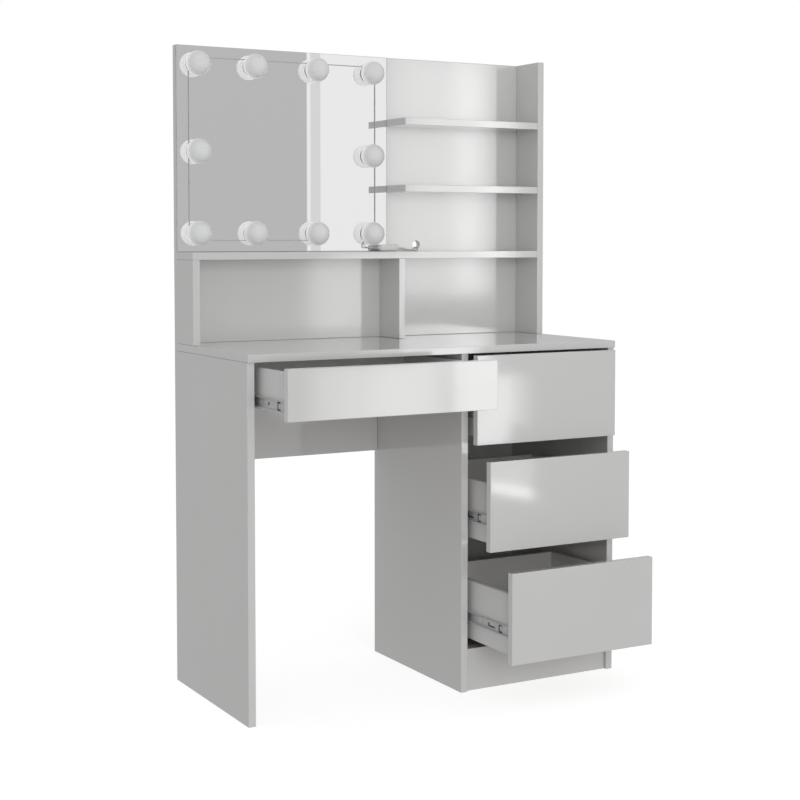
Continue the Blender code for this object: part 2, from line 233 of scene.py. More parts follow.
def make_foil():
    """Satin foil with a fine pearl grain, as on drawer sides."""
    light, dark = (0.755, 0.753, 0.747), (0.735, 0.733, 0.727)
    made, tree, shader = finish_of("foil", light, 0.34, IOR=1.65)
    pores = noise(tree, 900.0, 2.0, stretch=(1, 0.25, 1))
    cloud = noise(tree, 9.0, 3.0)
    wire_up(
        tree,
        shader,
        colour=between(tree, spread(tree, cloud, 0, 1), light, dark),
        roughness=spread(tree, noise(tree, 60.0, 3.0), 0.34, 0.44),
        normal=bumped(tree, pores, 0.00003),
    )
    return made


def make_hardboard_white():
    """The painted face of thin hardboard, with a slight roller texture."""
    light, dark = (0.76, 0.76, 0.752), (0.73, 0.73, 0.722)
    made, tree, shader = finish_of("hardboard_white", light, 0.5, IOR=1.45)
    roller = noise(tree, 420.0, 3.0, 0.6)
    wire_up(
        tree,
        shader,
        colour=between(tree, spread(tree, noise(tree, 16.0, 4.0), 0, 1), light, dark),
        roughness=spread(tree, roller, 0.44, 0.58),
        normal=bumped(tree, roller, 0.00006),
    )
    return made


def make_hardboard_brown():
    """The raw back of thin hardboard: pressed fibres and a screen pattern."""
    light, dark = (0.265, 0.165, 0.092), (0.150, 0.088, 0.047)
    made, tree, shader = finish_of("hardboard_brown", light, 0.8, IOR=1.4)
    fibres = noise(tree, 260.0, 6.0, 0.7, stretch=(1, 1, 0.35))
    screen = linked(
        tree, "ShaderNodeTexVoronoi", Vector=object_place(tree), Scale=700.0, Randomness=0.15
    ).outputs["Distance"]
    wire_up(
        tree,
        shader,
        colour=between(tree, spread(tree, fibres, 0, 1), dark, light),
        roughness=spread(tree, fibres, 0.72, 0.9),
        normal=bumped(tree, fibres, 0.00012, under=bumped(tree, screen, 0.00010)),
    )
    return made


def make_silver():
    """A mirror: silvering seen through clear glass, with a trace of unevenness from the float bath."""
    made, tree, shader = finish_of("silver", (0.90, 0.905, 0.90), 0.012, Metallic=1.0)
    wire_up(tree, shader, normal=bumped(tree, noise(tree, 2.5, 1.0), 0.00002))
    return made


def make_glass_edge():
    """The ground and polished rim of the mirror, faintly green."""
    light, dark = (0.50, 0.60, 0.57), (0.38, 0.48, 0.45)
    made, tree, shader = finish_of("glass_edge", light, 0.22, IOR=1.52, Coat_Weight=0.5)
    marks = noise(tree, 1400.0, 2.0, stretch=(1, 1, 1))
    wire_up(
        tree,
        shader,
        colour=between(tree, spread(tree, noise(tree, 40.0, 2.0), 0, 1), light, dark),
        roughness=spread(tree, marks, 0.16, 0.34),
        normal=bumped(tree, marks, 0.00001),
    )
    return made


def make_opal():
    """A frosted opal diffuser, with a painted glow on its back that stands in for the light the mirror throws
    into it.
    """
    made, tree, shader = finish_of(
        "opal", (0.87, 0.875, 0.875), 0.30, IOR=1.5, Subsurface_Weight=0.35, Subsurface_Scale=0.004
    )
    shader.inputs["Subsurface Radius"].default_value = (1.0, 1.0, 1.0)
    frost = noise(tree, 1500.0, 2.0)
    wire_up(
        tree,
        shader,
        roughness=spread(tree, frost, 0.26, 0.36),
        normal=bumped(tree, frost, 0.000008),
    )
    # Painted glow: an emission that rises towards the mirror over the globe's back, though the lights are
    # unlit.
    rearward = linked(tree, "ShaderNodeSeparateXYZ", Vector=object_place(tree)).outputs["Y"]
    painted_glow = linked(tree, "ShaderNodeMapRange", {"interpolation_type": "SMOOTHSTEP"}, Value=rearward)
    widest = REAR - MIRROR_FACE - BULB_REACH + BULB_RADIUS
    painted_glow.inputs["From Min"].default_value = widest - 0.016
    painted_glow.inputs["From Max"].default_value = widest + 0.008
    painted_glow.inputs["To Max"].default_value = 0.44
    shader.inputs["Emission Color"].default_value = (1, 1, 1, 1)
    tree.links.new(painted_glow.outputs["Result"], shader.inputs["Emission Strength"])
    return made


def make_plastic(name, light, dark, roughness=0.33):
    """Moulded plastic with a fine spark-eroded texture."""
    made, tree, shader = finish_of(name, light, roughness, IOR=1.5)
    grain = noise(tree, 2200.0, 2.0)
    wire_up(
        tree,
        shader,
        colour=between(tree, spread(tree, noise(tree, 45.0, 2.0), 0, 1), light, dark),
        roughness=spread(tree, grain, roughness - 0.05, roughness + 0.07),
        normal=bumped(tree, grain, 0.000012),
    )
    return made


def make_foam():
    """A double-sided foam pad."""
    light, dark = (0.66, 0.66, 0.64), (0.50, 0.50, 0.48)
    made, tree, shader = finish_of("foam", light, 0.9)
    cells = linked(
        tree, "ShaderNodeTexVoronoi", Vector=object_place(tree), Scale=2600.0
    ).outputs["Distance"]
    wire_up(
        tree,
        shader,
        colour=between(tree, cells, dark, light),
        roughness=spread(tree, noise(tree, 90.0), 0.85, 0.95),
        normal=bumped(tree, cells, 0.00012),
    )
    return made


def make_zinc(name="zinc", light=(0.72, 0.72, 0.715), dark=(0.62, 0.625, 0.63), metallic=0.45):
    """Pale passivated zinc on rolled steel, with rolling marks along the rail."""
    made, tree, shader = finish_of(name, light, 0.4, Metallic=metallic, IOR=1.8)
    rolled = noise(tree, 1200.0, 3.0, 0.6, stretch=(1, 0.02, 1))
    clouds = noise(tree, 55.0, 4.0)
    wire_up(
        tree,
        shader,
        colour=between(tree, spread(tree, clouds, 0, 1), dark, light),
        roughness=spread(tree, clouds, 0.34, 0.50),
        normal=bumped(tree, rolled, 0.00001),
    )
    return made


def make_steel_ball():
    made, tree, shader = finish_of("ball_steel", (0.72, 0.72, 0.73), 0.08, Metallic=1.0)
    wire_up(tree, shader, roughness=spread(tree, noise(tree, 700.0, 2.0), 0.05, 0.16))
    return made


def make_cable():
    """A soft jacket with a faint drawn texture."""
    light, dark = (0.60, 0.60, 0.59), (0.54, 0.54, 0.53)
    made, tree, shader = finish_of("cable", light, 0.45, IOR=1.48)
    drawn = noise(tree, 500.0, 2.0)
    wire_up(
        tree,
        shader,
        colour=between(tree, spread(tree, noise(tree, 30.0, 2.0), 0, 1), light, dark),
        roughness=spread(tree, drawn, 0.40, 0.52),
        normal=bumped(tree, drawn, 0.00003),
    )
    return made


LACQUER = make_lacquer()
EDGING = make_lacquer("edge_band", (0.705, 0.702, 0.697), (0.690, 0.687, 0.682))
FOIL = make_foil()
BOARD_WHITE = make_hardboard_white()
BOARD_BROWN = make_hardboard_brown()
SILVER = make_silver()
GLASS_EDGE = make_glass_edge()
OPAL = make_opal()
PLASTIC = make_plastic("white_plastic", (0.86, 0.86, 0.85), (0.82, 0.82, 0.81))
BLACK_PLASTIC = make_plastic("black_plastic", (0.020, 0.020, 0.021), (0.030, 0.030, 0.031), 0.4)
FOAM = make_foam()
ZINC = make_zinc()
DARK_ZINC = make_zinc("dark_zinc", (0.22, 0.22, 0.23), (0.12, 0.12, 0.125))
BALL_STEEL = make_steel_ball()
CABLE = make_cable()

# ---------------------------------------------------------------- piece helpers


def add_piece(name, data, materials, body, replaces=()):
    """A mesh or curve in scene coordinates becomes a piece that rides on a body."""
    piece = bpy.data.objects.new(name, data)
    for material in materials:
        data.materials.append(material)
    bpy.context.scene.collection.objects.link(piece)
    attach(piece, body)
    if replaces:
        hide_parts(*replaces)
    return piece


def mesh_of(shape, name, sharp=35.0):
    """The mesh of a bmesh, shaded smooth up to the sharp angle."""
    bmesh.ops.recalc_face_normals(shape, faces=shape.faces)
    mesh = bpy.data.meshes.new(name)
    shape.to_mesh(mesh)
    shape.free()
    mesh.shade_smooth()
    mesh.set_sharp_from_angle(angle=math.radians(sharp))
    return mesh


def weighted(piece):
    """Keeps broad faces flat beside their rounded edges."""
    modifier = piece.modifiers.new("flat faces", "WEIGHTED_NORMAL")
    modifier.keep_sharp = True
    return piece


def rounded_box(shape, low, high, radius, segments=3):
    """Adds a box with rounded edges to a bmesh, and gives its faces."""
    made = bmesh.ops.create_cube(shape, size=1.0)
    verts = made["verts"]
    bmesh.ops.scale(shape, vec=high - low, verts=verts)
    bmesh.ops.translate(shape, vec=(low + high) / 2, verts=verts)
    edges = list({edge for vert in verts for edge in vert.link_edges})
    rounded = bmesh.ops.bevel(
        shape, geom=edges, offset=radius, segments=segments, affect="EDGES", profile=0.5
    )
    faces = set(rounded["faces"])
    for vert in rounded["verts"]:
        faces.update(vert.link_faces)
    return list(faces)


def slab(name, low, high, body, face, rim, replaces=(), band=BAND, edge=EDGE):
    """A banded board: two broad faces, and a rim set off from them by a fine glue seam."""
    size = high - low
    thin = min(range(3), key=lambda axis: size[axis])
    shape = bmesh.new()
    rounded_box(shape, low, high, edge)
    broad = [f for f in shape.faces if abs(f.normal[thin]) > 0.999 and f.calc_area() > 1e-4]
    for f in shape.faces:
        f.material_index = 0 if f in broad else 1
    for thickness, depth in ((band - edge, 0), (SEAM_WIDTH, -SEAM_DEPTH), (SEAM_WIDTH, SEAM_DEPTH)):
        ring = bmesh.ops.inset_individual(shape, faces=broad, thickness=thickness, depth=depth)
        for f in ring["faces"]:
            f.material_index = 1
    piece = add_piece(name, mesh_of(shape, name), (face, rim), body, replaces)
    return weighted(piece)


def box_in(shape, low, high):
    """Adds a plain box to a bmesh, as a tool to cut with."""
    made = bmesh.ops.create_cube(shape, size=1.0)
    bmesh.ops.scale(shape, vec=high - low, verts=made["verts"])
    bmesh.ops.translate(shape, vec=(low + high) / 2, verts=made["verts"])


def facing(place, normal, spin=0.0):
    """The matrix that carries a template with its top at +Z to a place, with its top along normal."""
    turn = Vector(normal).to_track_quat("Z", "Y").to_matrix().to_4x4()
    return Matrix.Translation(place) @ turn @ Matrix.Rotation(spin, 4, "Z")


def rod_in(shape, place, normal, radius, length, sides=24):
    """Adds a rod, centred on place and along normal."""
    bmesh.ops.create_cone(
        shape,
        cap_ends=True,
        segments=sides,
        radius1=radius,
        radius2=radius,
        depth=length,
        matrix=facing(place, normal),
    )


def carved(mesh, tool_shape, sharp=35.0):
    """The mesh with the tool's shape cut away."""
    tool_mesh = bpy.data.meshes.new("tool")
    tool_shape.to_mesh(tool_mesh)
    tool_shape.free()
    holder = bpy.data.objects.new("holder", mesh)
    tool = bpy.data.objects.new("tool", tool_mesh)
    for obj in (holder, tool):
        bpy.context.scene.collection.objects.link(obj)
    boolean = holder.modifiers.new("carve", "BOOLEAN")
    boolean.object = tool
    boolean.use_self = True
    graph = bpy.context.evaluated_depsgraph_get()
    made = bpy.data.meshes.new_from_object(holder.evaluated_get(graph))
    for obj in (holder, tool):
        bpy.data.objects.remove(obj)
    made.shade_smooth()
    made.set_sharp_from_angle(angle=math.radians(sharp))
    return made


def turned_mesh(name, profile, sides=48):
    """A profile of (radius, height) points, from the top down, turned about Z."""
    shape = bmesh.new()
    verts = [shape.verts.new((radius, 0, height)) for radius, height in profile]
    edges = [shape.edges.new(pair) for pair in zip(verts, verts[1:])]
    bmesh.ops.spin(
        shape,
        geom=verts + edges,
        cent=(0, 0, 0),
        axis=(0, 0, 1),
        angle=2 * math.pi,
        steps=sides,
        use_merge=True,
    )
    bmesh.ops.remove_doubles(shape, verts=shape.verts, dist=1e-6)
    return mesh_of(shape, name)


def stamp(shape, template, matrix, index=0):
    """Adds a copy of a template mesh to a bmesh, placed by the matrix."""
    known_verts, known_faces = len(shape.verts), len(shape.faces)
    shape.from_mesh(template)
    shape.verts.ensure_lookup_table()
    shape.faces.ensure_lookup_table()
    bmesh.ops.transform(shape, matrix=matrix, verts=shape.verts[known_verts:])
    for face in shape.faces[known_faces:]:
        face.material_index = index


def arc(centre, radius, start, end, steps):
    """Points of an arc, by angles in degrees."""
    angles = [math.radians(start + (end - start) * i / steps) for i in range(steps + 1)]
    return [(centre[0] + radius * math.cos(a), centre[1] + radius * math.sin(a)) for a in angles]


def sheet_outline(path, thickness):
    """The outline of a bent sheet whose middle follows the path."""
    near, far = [], []
    for i, (u, v) in enumerate(path):
        before, after = path[max(i - 1, 0)], path[min(i + 1, len(path) - 1)]
        along = (Vector(after) - Vector(before)).normalized()
        side = Vector((-along.y, along.x)) * thickness / 2
        if 0 < i < len(path) - 1:
            into = (Vector((u, v)) - Vector(before)).normalized()
            side /= max(0.5, into.dot(along))
        near.append((u + side.x, v + side.y))
        far.append((u - side.x, v - side.y))
    return near + far[::-1]


def drawn_out(name, outline, y, sharp=35.0):
    """An outline in X and Z, drawn out between two y."""
    shape = bmesh.new()
    face = shape.faces.new([shape.verts.new((x, y[0], z)) for x, z in outline])
    made = bmesh.ops.extrude_face_region(shape, geom=[face])
    verts = [item for item in made["geom"] if isinstance(item, bmesh.types.BMVert)]
    bmesh.ops.translate(shape, vec=(0, y[1] - y[0], 0), verts=verts)
    return mesh_of(shape, name, sharp)


# ---------------------------------------------------------------- supply lead


def through(points, steps):
    """A smooth curve through the points, with each stretch between two of them cut into steps."""
    gaps = [(b - a).length for a, b in zip(points, points[1:])]
    ways = [(b - a) / gap for a, b, gap in zip(points, points[1:], gaps)]
    turns = [
        (before * far + after * near) / (near + far)
        for before, after, near, far in zip(ways, ways[1:], gaps, gaps[1:])
    ]
    tangents = [ways[0], *turns, ways[-1]]
    curve = []
    for i, gap in enumerate(gaps):
        for step in range(steps):
            t = step / steps
            curve.append(
                points[i] * (2 * t**3 - 3 * t**2 + 1)
                + tangents[i] * gap * (t**3 - 2 * t**2 + t)
                + points[i + 1] * (3 * t**2 - 2 * t**3)
                + tangents[i + 1] * gap * (t**3 - t**2)
            )
    return [*curve, points[-1]]


def tube_curve(name, points, diameter):
    """A round tube along one open spline, with closed ends."""
    curve = bpy.data.curves.new(name, "CURVE")
    curve.dimensions = "3D"
    curve.bevel_depth = diameter / 2
    curve.bevel_resolution = 4
    curve.use_fill_caps = True
    spline = curve.splines.new("POLY")
    spline.points.add(len(points) - 1)
    for point, place in zip(spline.points, points):
        point.co = (*place, 1)
    spline.use_smooth = True
    return curve


def lead_route():
    """The supply lead's own points: dimmer, hole in the back panel, straight down, floor, coil."""
    on_shelf = SHELF_TOP + GAP + LEAD_DIAMETER / 2
    in_hole = LEAD_HOLE[1] - LEAD_HOLE_DIAMETER / 2 + LEAD_DIAMETER / 2 + LEAD_OFF_HOLE
    on_floor = GAP + LEAD_DIAMETER / 2
    exit_x = DIMMER_LEFT + DIMMER_SIZE[0] + GAP
    exit_z = SHELF_TOP + GAP + DIMMER_SIZE[2] / 2
    hole_x = LEAD_HOLE[0]
    end_x = COIL_CENTRE[0] - COIL_OUTSIDE + LEAD_DIAMETER / 2
    places = [
        (exit_x, DIMMER_DEPTH, exit_z),
        (exit_x + 0.010, DIMMER_DEPTH, exit_z - 0.0006),
        (exit_x + 0.025, DIMMER_DEPTH - 0.001, on_shelf + 0.0018),
        (exit_x + 0.041, DIMMER_DEPTH - 0.006, on_shelf + 0.0004),
        (hole_x - 0.009, 0.036, on_shelf + 0.0003),
        (hole_x - 0.002, 0.027, on_shelf + 0.0030),
        (hole_x, 0.018, in_hole),
        (hole_x, 0.008, in_hole + 0.0002),
        (hole_x, -0.0010, in_hole - 0.0002),
        (hole_x, -0.0070, in_hole - 0.0038),
        (hole_x, -0.0098, in_hole - 0.0130),
        (hole_x + 0.001, -0.0102, 0.900),
        (hole_x + 0.003, -0.0110, 0.750),
        (hole_x + 0.004, -0.0115, 0.560),
        (hole_x + 0.002, -0.0115, 0.380),
        (hole_x + 0.000, -0.0115, 0.200),
        (hole_x - 0.001, -0.0115, 0.070),
        (hole_x - 0.001, -0.0120, 0.026),
        (hole_x + 0.0005, -0.0150, 0.0085),
        (end_x - 0.0035, -0.0220, on_floor + 0.0006),
        (end_x - 0.0008, -0.0320, on_floor),
        (end_x, -0.0412, on_floor),
    ]
    return [at(*place) for place in places]


def eased(value, start, end):
    """0 before start, 1 after end, and a smooth rise between them."""
    t = min(1.0, max(0.0, (value - start) / (end - start)))
    return t * t * (3 - 2 * t)


def coil_turns():
    """The coiled stretch: an outer turn and an inner turn on the floor, then the same way back on top."""
    outer = COIL_OUTSIDE - LEAD_DIAMETER / 2
    inner = COIL_INSIDE + LEAD_DIAMETER / 2
    layer = LEAD_DIAMETER * 1.04
    turns = 3.32
    count = 36
    points = []
    for step in range(int(turns * count) + 1):
        turn = step / count
        inwards = eased(turn, 0.72, 0.93)
        back_out = eased(turn, 2.42, 2.63)
        radius = outer + (inner - outer) * (inwards - back_out)
        lift = layer * eased(turn, 1.58, 1.80)
        angle = math.pi + turn * 2 * math.pi
        points.append(
            at(
                COIL_CENTRE[0] + radius * math.cos(angle),
                COIL_CENTRE[1] + radius * math.sin(angle),
                GAP + LEAD_DIAMETER / 2 + lift,
            )
        )
    return points


def lead_end(turns):
    """From the last turn, over the ring's edge and into the plug's tail."""
    tail = at(
        COIL_CENTRE[0] + COIL_OUTSIDE + GAP,
        COIL_CENTRE[1] - PLUG_BEHIND_COIL,
        GAP + PLUG_BODY[2] / 2,
    )
    before = tail - Vector((0.0030, 0.0004, -0.0003))
    return through([turns[-2], turns[-1], before, tail], 5)[6:]


def make_supply_lead():
    route = lead_route()
    turns = coil_turns()
    points = through(route, 8)[:-1] + turns[1:] + lead_end(turns)
    cord = add_piece(
        "supply_lead",
        tube_curve("supply_lead", points, LEAD_DIAMETER),
        (CABLE,),
        "carcase",
        ("usb_lead", "usb_lead_coil"),
    )
    make_plug()
    make_lead_tie()


def make_lead_tie():
    """A paper-covered wire tie around the coiled turns, twisted shut on the inside of the coil."""
    wide, skin, bend = 0.0032, 0.00022, 0.0014
    near, far = COIL_INSIDE - skin / 2, COIL_OUTSIDE + skin / 2
    low, high = GAP - skin / 2, GAP + 2.06 * LEAD_DIAMETER + skin / 2
    middle = (low + high) / 2
    path = [
        (near, middle - 0.0004),
        *arc((near + bend, low + bend), bend, 180, 270, 4),
        *arc((far - bend, low + bend), bend, 270, 360, 4),
        *arc((far - bend, high - bend), bend, 0, 90, 4),
        *arc((near + bend, high - bend), bend, 90, 180, 4),
        (near, middle + 0.0004),
    ]
    twist = [(0, 0.0066)]
    for ring in range(7):
        twist += [(0.00060, 0.0064 - ring * 0.0009), (0.00038, 0.0060 - ring * 0.0009)]
    twist.append((0, 0))
    shape = bmesh.new()
    stamp(shape, drawn_out("tie_loop", sheet_outline(path, skin), (-wide / 2, wide / 2)), Matrix())
    start = Vector((near + 0.0003, 0, middle))
    stamp(shape, turned_mesh("tie_twist", twist, 10), facing(start, (-1, 0.1, 0.3)))
    mesh = mesh_of(shape, "lead_tie")
    mesh.transform(Matrix.Translation(at(*COIL_CENTRE, 0)) @ Matrix.Rotation(math.pi / 2, 4, "Z"))
    return add_piece("lead_tie", mesh, (PLASTIC,), "carcase")


def make_plug():
    """The plug that lies beside the coil: a ribbed overmould, a folded steel shell and its insert."""
    long, wide, thick = PLUG_BODY
    tail_x = COIL_CENTRE[0] + COIL_OUTSIDE + GAP
    depth = COIL_CENTRE[1] - PLUG_BEHIND_COIL
    middle = GAP + thick / 2
    shape = bmesh.new()
    low = at(tail_x, depth + wide / 2, GAP)
    high = at(tail_x + long, depth - wide / 2, GAP + thick)
    rounded_box(shape, low, high, 0.0018, 5)
    tool = bmesh.new()
    for rib in range(5):
        x = tail_x + 0.006 + rib * 0.0026
        for side in (-1, 1):
            y = depth + side * (wide / 2 + 0.0003)
            box_in(tool, at(x, y + 0.0008, 0), at(x + 0.0011, y - 0.0008, 0.02))
    body_mesh = carved(mesh_of(shape, "usb_plug_body"), tool)
    body = add_piece("usb_plug_body", body_mesh, (PLASTIC,), "carcase", ("usb_plug",))

    shell_x = (tail_x + long - 0.001, tail_x + long + PLUG_SHELL[0])
    half_wide, half_thick, wall = PLUG_SHELL[1] / 2, PLUG_SHELL[2] / 2, 0.0003
    shape = bmesh.new()
    rounded_box(
        shape,
        at(shell_x[0], depth + half_wide, middle - half_thick),
        at(shell_x[1], depth - half_wide, middle + half_thick),
        0.0004,
        2,
    )
    tool = bmesh.new()
    box_in(
        tool,
        at(shell_x[0] + 0.002, depth + half_wide - wall, middle - half_thick + wall),
        at(shell_x[1] + 0.002, depth - half_wide + wall, middle + half_thick - wall),
    )
    for side in (-1, 1):
        y = depth + side * 0.0025
        for z in (middle - half_thick, middle + half_thick):
            box_in(
                tool,
                at(shell_x[1] - 0.0085, y + 0.0012, z - 0.001),
                at(shell_x[1] - 0.0060, y - 0.0012, z + 0.001),
            )
    shell_mesh = carved(mesh_of(shape, "usb_plug_shell"), tool)
    shell = add_piece("usb_plug_shell", shell_mesh, (ZINC,), "carcase")

    shape = bmesh.new()
    rounded_box(
        shape,
        at(shell_x[0] + 0.002, depth + half_wide - wall - 0.0002, middle - half_thick + wall + 0.0001),
        at(shell_x[1] - 0.0006, depth - half_wide + wall + 0.0002, middle - 0.0001),
        0.0002,
        2,
    )
    insert_mesh = mesh_of(shape, "usb_plug_insert")
    insert = add_piece("usb_plug_insert", insert_mesh, (PLASTIC,), "carcase")
    return [body, shell, insert]


make_supply_lead()

# ---------------------------------------------------------------- boards

LACQUERED = (
    "left_side_panel",
    "pedestal_inner_side",
    "pedestal_outer_side",
    "table_top",
    "modesty_panel",
    "pedestal_plinth",
    "pedestal_floor",
    "upper_back_panel",
    "upper_left_side",
    "cubby_divider",
    "upper_right_side",
    "wide_shelf",
    "middle_shelf",
    "top_shelf",
)


def lacquered(node, body):
    low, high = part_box(node)
    return slab(node + "_board", low, high, body, LACQUER, EDGING, (node,))


def drill_back_panel(panel):
    """The hole for the supply lead, lined with a thin white sleeve."""
    centre = at(LEAD_HOLE[0], BOARD / 2, LEAD_HOLE[1])
    tool = bmesh.new()
    rod_in(tool, centre, (0, 1, 0), LEAD_HOLE_DIAMETER / 2, 3 * BOARD, 48)
    mesh = carved(panel.data, tool)
    mesh.materials.append(PLASTIC)
    for face in mesh.polygons:
        off = Vector(face.center) - centre
        if Vector((off.x, off.z)).length < 1.01 * LEAD_HOLE_DIAMETER / 2 and abs(face.normal.y) < 0.5:
            face.material_index = len(mesh.materials) - 1
    panel.data = mesh


def make_boards():
    for node in LACQUERED:
        board = lacquered(node, "carcase")
        if node == "upper_back_panel":
            drill_back_panel(board)
    for name in DRAWERS:
        lacquered(name + "_drawer_front", name + "_drawer")


def hardboard(node, body, white_way):
    """Thin hardboard, painted on the side that faces white_way and raw elsewhere."""
    low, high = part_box(node)
    shape = bmesh.new()
    rounded_box(shape, low, high, 0.0003, 2)
    for face in shape.faces:
        face.material_index = 0 if face.normal.dot(Vector(white_way)) > 0.5 else 1
    mesh = mesh_of(shape, node + "_panel")
    materials = (BOARD_WHITE, BOARD_BROWN)
    piece = add_piece(node + "_panel", mesh, materials, body, (node,))
    return weighted(piece)


make_boards()
hardboard("pedestal_back", "carcase", (0, -1, 0))

# ---------------------------------------------------------------- small hardware


def make_screw_head(name, radius, height):
    """A domed head with a cross recess."""
    steps = 5
    dome = arc((0, 0), 1, 90, 8, steps)
    profile = [(radius * x, height * z) for x, z in dome] + [(radius, 0), (radius, -0.0003), (0, -0.0003)]
    profile[0] = (0, height)
    tool = bmesh.new()
    arm, half = radius * 0.62, radius * 0.13
    for long, wide in ((arm, half), (half, arm)):
        box_in(tool, Vector((-long, -wide, height * 0.25)), Vector((long, wide, 2 * height)))
    return carved(turned_mesh(name, profile, 24), tool)


def make_cam_cap(name, radius, height):
    """A press-in cover with a soft rim and a slot to lift it by."""
    rim = height * 0.5
    profile = [(0, height), (radius - rim, height), *arc((radius - rim, height - rim), rim, 60, 0, 2)]
    profile += [(radius, 0), (0, 0)]
    tool = bmesh.new()
    box_in(
        tool,
        Vector((radius * 0.80, -0.0012, height * 0.3)),
        Vector((radius * 1.2, 0.0012, height * 2)),
    )
    return carved(turned_mesh(name, profile, 32), tool)


SMALL_SCREW = make_screw_head("small_screw", 0.0030, 0.0009)
NAIL_HEAD = turned_mesh("nail_head", [(0, 0.0004), (0.0011, 0.0003), (0.0014, 0), (0, -0.0003)], 12)
CAM_CAP = make_cam_cap("cam_cap", 0.0080, 0.0006)


def group(name, template, places, normal, material, body):
    """Copies of one small piece, each turned a little differently, as one object."""
    shape = bmesh.new()
    for number, place in enumerate(places):
        stamp(shape, template, facing(place, normal, 0.7 * number))
    return add_piece(name, mesh_of(shape, name), (material,), body)


def make_back_fixings():
    """Screws through the upper back panel into the boards in front of it, and nails in the thin back."""
    half = BOARD / 2
    shelves = {"wide_shelf": (0.05, 0.25, 0.46), "middle_shelf": (), "top_shelf": ()}
    screws = []
    for node, more in shelves.items():
        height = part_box(node)[1].z - half
        screws += [at(x, 0, height) for x in (*more, 0.56, 0.70, 0.85)]
    for x, heights in ((half, (0.80, 0.90)), (0.512, (0.80, 0.90)), (0.892, (0.80, 1.03, 1.18, 1.34))):
        screws += [at(x, 0, height) for height in heights]
    group("back_panel_screws", SMALL_SCREW, screws, (0, 1, 0), ZINC, "carcase")

    low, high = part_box("pedestal_back")
    inset, rows, columns = 0.008, 8, 4
    nails = []
    for row in range(rows + 1):
        height = low.z + inset + (high.z - low.z - 2 * inset) * row / rows
        for column in range(columns + 1):
            if row not in (0, rows) and column not in (0, columns):
                continue
            x = low.x + inset + (high.x - low.x - 2 * inset) * column / columns
            nails.append(Vector((x, high.y, height)))
    group("back_nails", NAIL_HEAD, nails, (0, 1, 0), ZINC, "carcase")

    low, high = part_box("modesty_panel")
    caps = [
        Vector((x, high.y, z))
        for x in (low.x + 0.034, high.x - 0.034)
        for z in (low.z + 0.050, high.z - 0.045)
    ]
    group("modesty_panel_caps", CAM_CAP, caps, (0, 1, 0), PLASTIC, "carcase")


make_back_fixings()

# ---------------------------------------------------------------- drawers


def drawer_side(name, side, x, low, high, body):
    """A box side: a foiled board with the bottom's groove along its inner face."""
    outer, inner = x
    way = 1 if inner > outer else -1
    soft = 0.0006
    groove = (low.z + 0.0077, low.z + 0.0113)
    deep = inner - 0.0053 * way
    outline = [
        (outer, low.z),
        (inner, low.z),
        (inner, groove[0]),
        (deep, groove[0]),
        (deep, groove[1]),
        (inner, groove[1]),
        (inner, high.z - soft),
        (inner - soft * way, high.z),
        (outer + soft * way, high.z),
        (outer, high.z - soft),
    ]
    mesh = drawn_out(f"{name}_drawer_side_{side}", outline, (low.y, high.y), 50)
    return add_piece(mesh.name, mesh, (FOIL,), body)


def make_drawer_box(name):
    """Two grooved sides, a back between them, and the thin bottom, with their fixings."""
    body = name + "_drawer"
    low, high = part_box(name + "_drawer_box")
    left = drawer_side(name, "left", (low.x, low.x + THIN), low, high, body)
    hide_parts(name + "_drawer_box")
    drawer_side(name, "right", (high.x, high.x - THIN), low, high, body)
    back_low = Vector((low.x + THIN + 0.0001, high.y - THIN, low.z + 0.0118))
    back_high = Vector((high.x - THIN - 0.0001, high.y, high.z - 0.0003))
    slab(
        f"{name}_drawer_back", back_low, back_high, body, FOIL, FOIL, edge=0.0004, band=0.0008
    )
    hardboard(name + "_drawer_bottom", body, (0, 0, 1))

    third = (high.z - low.z) / 3
    heights = (low.z + 1.1 * third, low.z + 2.3 * third)
    for side, x, normal in (("left", low.x, (-1, 0, 0)), ("right", high.x, (1, 0, 0))):
        screws = [Vector((x, high.y - THIN / 2, z)) for z in heights]
        group(f"{name}_drawer_screws_{side}", SMALL_SCREW, screws, normal, ZINC, body)
    for side, x, normal in (("left", low.x + THIN, (1, 0, 0)), ("right", high.x - THIN, (-1, 0, 0))):
        caps = [Vector((x, low.y + 0.026, z)) for z in (low.z + 0.034, high.z - 0.022)]
        group(f"{name}_drawer_caps_{side}", CAM_CAP, caps, normal, PLASTIC, body)


def cabinet_member_path():
    """The middle of the cabinet rail's sheet, as (across, up) from the cabinet wall and the rail's middle."""
    lip = arc((0.0062, 0.0135), 0.0034, -20, 90, 5)
    corner = arc((0.0024, 0.0151), 0.0018, 90, 180, 3)
    upper = lip + corner
    return upper + [(u, -v) for u, v in reversed(upper)]


def drawer_member_path():
    """The middle of the drawer rail's sheet, as (across, up) from the drawer side."""
    dent = [(0.0088, 0.0101), (0.0084, 0.0104), (0.0075, 0.0102), (0.0066, 0.0100), (0.0057, 0.0102)]
    corner = arc((0.0020, 0.0090), 0.0014, 90, 180, 3)
    upper = [*dent, (0.0048, 0.0104), *corner]
    return upper + [(u, -v) for u, v in reversed(upper)]


def cage_path():
    corner = arc((0.0036, 0.0119), 0.0012, 90, 180, 3)
    upper = [(0.0084, 0.0131), *corner]
    return upper + [(u, -v) for u, v in reversed(upper)]


def slot_in(tool, place, half_length, radius, deep):
    """Adds a long hole that runs along Y to a tool."""
    for way in (-1, 1):
        rod_in(tool, place + Vector((0, way * half_length, 0)), (1, 0, 0), radius, deep, 20)
    box_in(
        tool,
        place - Vector((deep / 2, half_length, radius)),
        place + Vector((deep / 2, half_length, radius)),
    )


